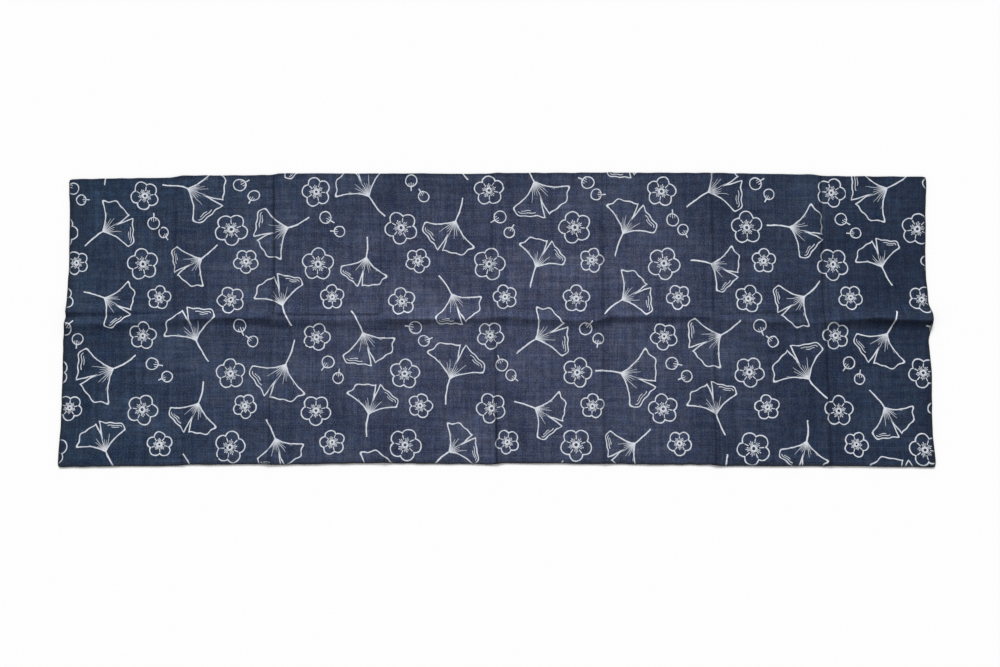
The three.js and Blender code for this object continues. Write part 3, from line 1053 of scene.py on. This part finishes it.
# %% Colour, roughness and bump of the cotton
FLECK_SHARE, EDGE_SHADE_SHARE, CREASE_SHADE_SHARE = 0.6, 0.95, 0.95
DULL_LOW, DULL_HIGH = 0.35, 0.65
FUZZ_LOW, FUZZ_HIGH = 0.3, 0.7
ROUGHEST, SMOOTHEST, CREASE_ROUGHENS = 0.84, 0.74, 0.2
BUMP_STRENGTH, BUMP_DEPTH = 0.6, 0.00004
COTTON_SPECULAR = 0.08
weave = use_group(tree, weave_group, {"Place": flat_mm})
indigo = blend(tree, weave["Tone"], INDIGO_DEEP, INDIGO_LIGHT)
indigo = blend(tree, times(tree, weave["Flecks"], FLECK_SHARE), indigo, FIBRE)
indigo = blend(tree, 1.0, indigo, blend(tree, weave["Hue"], BLUER, REDDER), "MULTIPLY")
# Painted glare: the colour is darkened away from the pale middle, with a tint of its own towards the left
# end.
past_left = between(tree, along_cloth, 0.0, LEFT_TINT_REACH, 0.0, 1.0)
glare_falloff_tint = blend(tree, past_left, GLARE_FALLOFF_LEFT, GLARE_FALLOFF_RIGHT)
indigo = blend(tree, 1.0, indigo, blend(tree, glare_falloff, PLAIN, glare_falloff_tint), "MULTIPLY")
# Painted shade near the short ends.
indigo = blend(tree, end_shade_mask, indigo, RIM_SHADE_COLOUR)
white_tone = between(tree, weave["Heather"], DULL_LOW, DULL_HIGH, 0.0, 1.0)
undyed = blend(tree, white_tone, UNDYED_DULL, UNDYED)
dyed_and_shaded = blend(tree, ink, indigo, undyed)
# Painted shade: a thin dark band along the edges and a dark line along the creases, which are also a little
# rougher.
dyed_and_shaded = blend(tree, times(tree, edge, EDGE_SHADE_SHARE), dyed_and_shaded, RIM_SHADE_COLOUR)
dyed_and_shaded = blend(tree, times(tree, press, CREASE_SHADE_SHARE), dyed_and_shaded, CREASE_SHADE_COLOUR)
rough = between(tree, weave["Heather"], FUZZ_LOW, FUZZ_HIGH, ROUGHEST, SMOOTHEST)
rough = calc(tree, "MINIMUM", calc(tree, "MULTIPLY_ADD", press, CREASE_ROUGHENS, rough), 1.0)
bump_inputs = {"Height": weave["Height"], "Strength": BUMP_STRENGTH, "Distance": BUMP_DEPTH}
bump = add(tree, "Bump", bump_inputs).outputs[0]
principled = add(tree, "BsdfPrincipled", {"Base Color": dyed_and_shaded, "Roughness": rough, "Normal": bump})
principled.inputs["Specular IOR Level"].default_value = COTTON_SPECULAR
add(tree, "OutputMaterial", {"Surface": principled.outputs[0]})
mesh.materials.clear()
mesh.materials.append(cotton)
print("dyed cotton:", len(tree.nodes), "nodes")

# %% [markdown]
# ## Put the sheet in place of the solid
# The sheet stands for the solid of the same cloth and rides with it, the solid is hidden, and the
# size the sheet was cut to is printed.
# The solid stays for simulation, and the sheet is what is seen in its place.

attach(cloth, "root")
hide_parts("towel")
print("sheet cut to", LENGTH, "by", WIDTH, "mm")

# %% [markdown]
# ## Floor, light and camera
# The cloth lies on a plain pale floor. One wide, soft sun on the far side rakes over the lengthwise
# crease and leaves its near slope in shade, and a white world fills the rest. A sun lights the
# whole floor alike, which a lamp close by would not. The world is as bright as the floor to the
# camera, so that floor and room join without a line. The camera looks almost straight down.

# %% Floor
FLOOR_SIZE, FLOOR_DROP = 40.0, 0.0003
FLOOR_GREY = (0.754, 0.754, 0.754, 1.0)
FLOOR_ROUGHNESS = 0.9
bpy.ops.object.select_all(action="DESELECT")
bpy.ops.mesh.primitive_plane_add(size=FLOOR_SIZE, location=(0.0, 0.0, -FLOOR_DROP))
floor = bpy.context.object
floor.name = "floor"
paper = bpy.data.materials.new("pale_floor")
paper.use_nodes = True
paper_shader = paper.node_tree.nodes["Principled BSDF"]
paper_shader.inputs["Base Color"].default_value = FLOOR_GREY
paper_shader.inputs["Roughness"].default_value = FLOOR_ROUGHNESS
paper_shader.inputs["Specular IOR Level"].default_value = 0.0
floor.data.materials.append(paper)
print("floor:", FLOOR_SIZE, "m wide")

# %% Lights
SUN_PLACE = Vector((-0.6, 5.0, 3.3))
SUN_STRENGTH = 4.3
SUN_ANGLE = math.radians(26.0)
ROOM_FILL = 0.557
ROOM_SEEN = 0.985
sun = bpy.data.lights.new("far_light", "SUN")
sun.energy = SUN_STRENGTH
sun.angle = SUN_ANGLE
far_light = bpy.data.objects.new("far_light", sun)
far_light.location = SUN_PLACE
far_light.rotation_euler = (-SUN_PLACE).to_track_quat("-Z", "Y").to_euler()
bpy.context.scene.collection.objects.link(far_light)
world = bpy.data.worlds.new("white_room")
world.use_nodes = True
room = world.node_tree
seen = add(room, "LightPath").outputs["Is Camera Ray"]
room.nodes["Background"].inputs["Color"].default_value = (1.0, 1.0, 1.0, 1.0)
feed(room, room.nodes["Background"].inputs["Strength"], between(room, seen, 0.0, 1.0, ROOM_FILL, ROOM_SEEN))
bpy.context.scene.world = world
bpy.context.scene.view_settings.view_transform = "Standard"
print("sun strength:", SUN_STRENGTH, "room fill:", ROOM_FILL)

# %% Camera
CAMERA_LENS = 35.0
CAMERA_SENSOR = 36.0
CAMERA_DISTANCE = 1.122
CAMERA_TILT = math.radians(4.53)
AIM = Vector((0.0028, -0.0176, 0.0))
camera_data = bpy.data.cameras.new("camera")
camera_data.lens = CAMERA_LENS
camera_data.sensor_width = CAMERA_SENSOR
camera = bpy.data.objects.new("camera", camera_data)
camera.location = AIM + CAMERA_DISTANCE * Vector((0.0, -math.sin(CAMERA_TILT), math.cos(CAMERA_TILT)))
camera.rotation_euler = (CAMERA_TILT, 0.0, 0.0)
bpy.context.scene.collection.objects.link(camera)
bpy.context.scene.camera = camera
print("camera stands at", [round(v, 3) for v in camera.location], "m")
